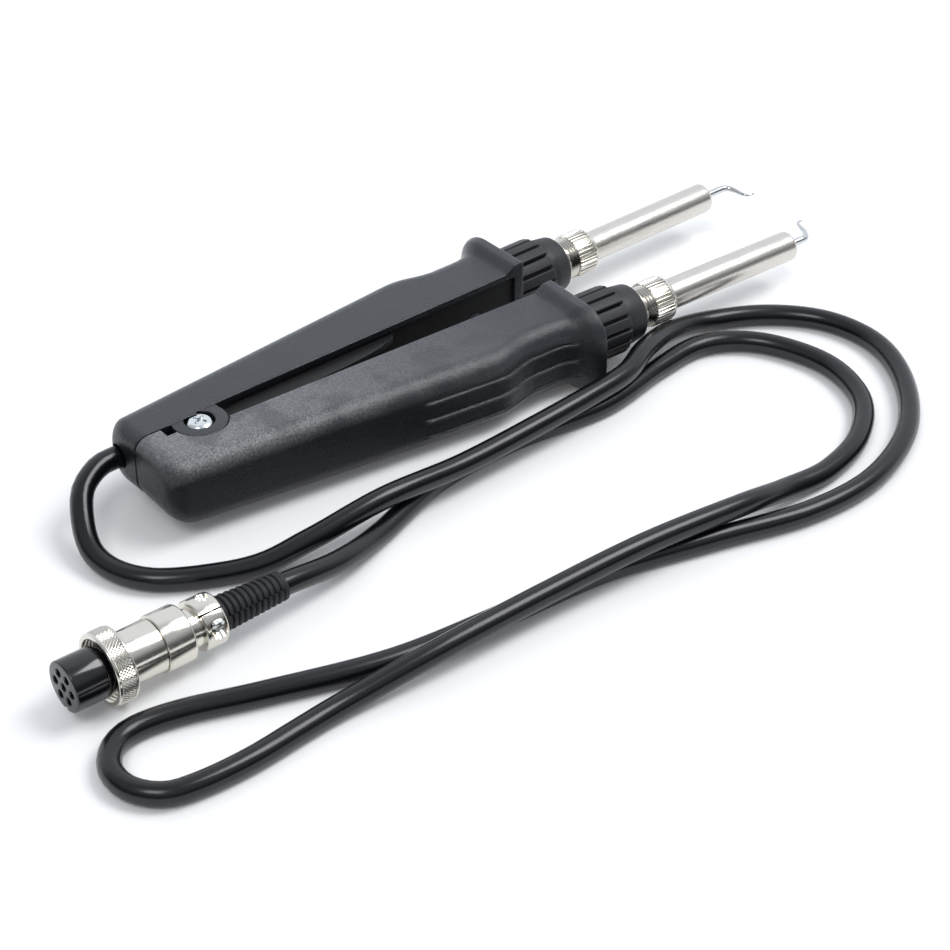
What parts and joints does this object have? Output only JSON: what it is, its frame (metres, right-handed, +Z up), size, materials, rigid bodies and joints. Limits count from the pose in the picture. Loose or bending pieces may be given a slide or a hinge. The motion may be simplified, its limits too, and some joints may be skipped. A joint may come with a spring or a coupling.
{
  "type": "soldering tweezers",
  "caption": "Hot tweezers for soldering: two hinged, spring-opened arms with heater tubes and bent tips, on a cord with a round locking plug.",
  "frame": {"origin": "on the table under the middle of the tweezers' length and width, with the cord and plug left out", "axes": "+X from the hinge end to the tips, +Y towards the arm that the cord leaves, +Z up from the table"},
  "size_m": [0.2863, 0.1422, 0.026],
  "materials": {
    "arm_nylon": "moulded glass-filled nylon with a fine spark-eroded texture",
    "cover_nylon": "moulded nylon, smooth",
    "screw_steel": "zinc plated",
    "collar_plastic": "heat-resistant phenolic, satin",
    "nickel_brass": "turned brass, bright nickel plate",
    "stainless": "satin drawn tube",
    "plated_tip": "iron-plated copper with a tinned end",
    "alumina": "white fired ceramic",
    "board_laminate": "glass-epoxy laminate",
    "wire_jacket": "silicone wire",
    "zinc_screw": "bright zinc plate",
    "bush_brass": "turned brass",
    "spring_steel": "oiled spring wire",
    "cord_pvc": "semi-gloss PVC jacket",
    "rubber": "matte moulded rubber",
    "insulator": "gloss phenolic"
  },
  "bodies": {
    "far_arm": {"far_shell": "arm_nylon", "far_cover": "cover_nylon", "far_cover_screws": "screw_steel", "far_collar": "collar_plastic", "far_nipple": "nickel_brass", "far_heater": "alumina", "far_board": "board_laminate", "far_loom": "wire_jacket", "pivot_screw": "zinc_screw", "pivot_nut": "screw_steel", "pivot_bush": "bush_brass", "return_spring": "spring_steel", "jumper_lead": "wire_jacket", "cord_gland": "rubber", "cord": "cord_pvc", "plug_insulator": "insulator", "plug_contacts": "bush_brass", "plug_barrel": "nickel_brass", "plug_back_shell": "nickel_brass", "plug_saddle": "nickel_brass", "plug_screws": "screw_steel", "plug_boot": "rubber"},
    "near_arm": {"near_shell": "arm_nylon", "near_cover": "cover_nylon", "near_cover_screws": "screw_steel", "near_collar": "collar_plastic", "near_nipple": "nickel_brass", "near_heater": "alumina", "near_board": "board_laminate", "near_loom": "wire_jacket"},
    "far_head": {"far_tube": "stainless", "far_tip": "plated_tip"},
    "far_clamp_nut": {"far_nut": "nickel_brass"},
    "near_head": {"near_tube": "stainless", "near_tip": "plated_tip"},
    "near_clamp_nut": {"near_nut": "nickel_brass"},
    "plug_ring": {"coupling_ring": "nickel_brass"}
  },
  "joints": [
    {"name": "arm_hinge", "type": "hinge", "parent": "far_arm", "child": "near_arm", "pos_m": [-0.09373, 0, 0.013], "axis": [0, 0, 1], "range_deg": [0, 5.4], "stiffness_Nm_per_rad": 2, "springref_deg": -3.44, "deforming": ["return_spring"]},
    {"name": "far_head_slide", "type": "slide", "parent": "far_arm", "child": "far_head", "axis": [0.9997, 0.0262, 0], "range_m": [0, 0.003]},
    {"name": "far_nut_turn", "type": "hinge", "parent": "far_head", "child": "far_clamp_nut", "pos_m": [0.04588, 0.01696, 0.013], "axis": [0.9997, 0.0262, 0], "range_deg": [0, 1082]},
    {"name": "near_head_slide", "type": "slide", "parent": "near_arm", "child": "near_head", "axis": [0.9997, -0.0262, 0], "range_m": [0, 0.003]},
    {"name": "near_nut_turn", "type": "hinge", "parent": "near_head", "child": "near_clamp_nut", "pos_m": [0.04588, -0.01696, 0.013], "axis": [0.9997, -0.0262, 0], "range_deg": [0, 1082]},
    {"name": "ring_turn", "type": "hinge", "parent": "far_arm", "child": "plug_ring", "pos_m": [-0.156, -0.0545, 0.0096], "axis": [1, 0, 0], "continuous": true}
  ],
  "couplings": [
    {"joint": "far_nut_turn", "follows": "far_head_slide", "rad_per_m": 6283.2},
    {"joint": "near_nut_turn", "follows": "near_head_slide", "rad_per_m": 6283.2}
  ]
}
